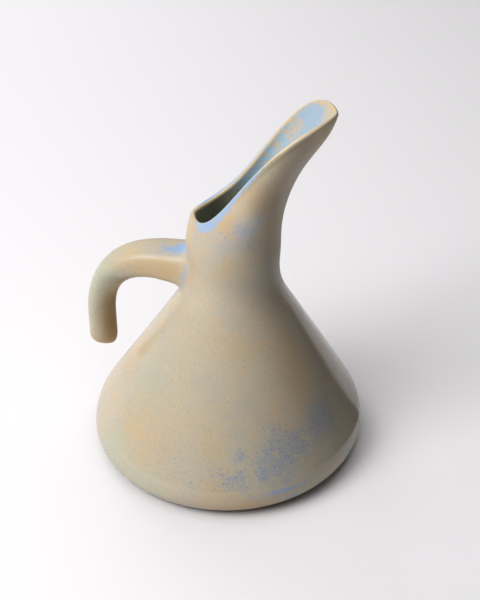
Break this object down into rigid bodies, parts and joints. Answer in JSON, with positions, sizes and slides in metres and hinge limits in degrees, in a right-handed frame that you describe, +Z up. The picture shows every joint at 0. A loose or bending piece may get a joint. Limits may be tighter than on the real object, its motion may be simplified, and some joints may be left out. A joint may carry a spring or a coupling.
{
  "type": "ceramic wine pitcher",
  "caption": "Hand-built stoneware wine pitcher: a low wide cone with a narrow neck, a long open beak spout and a hook handle with a free lower end.",
  "frame": {"origin": "middle of the flat underside, on the surface that the pitcher stands on", "axes": "+Z up, +X along the spout, so the handle is towards -X and Y is left and right"},
  "size_m": [0.164, 0.16, 0.2269],
  "materials": {
    "bare_clay": "matte unglazed stoneware",
    "ochre_glaze": "satin speckled ochre glaze",
    "blue_glaze": "satin glaze, pale blue where it pools"
  },
  "bodies": {
    "root": {"base_slab": "bare_clay", "body_cone": "ochre_glaze", "neck_collar": "ochre_glaze", "beak_spout": "blue_glaze", "hook_handle": "ochre_glaze"}
  },
  "joints": []
}
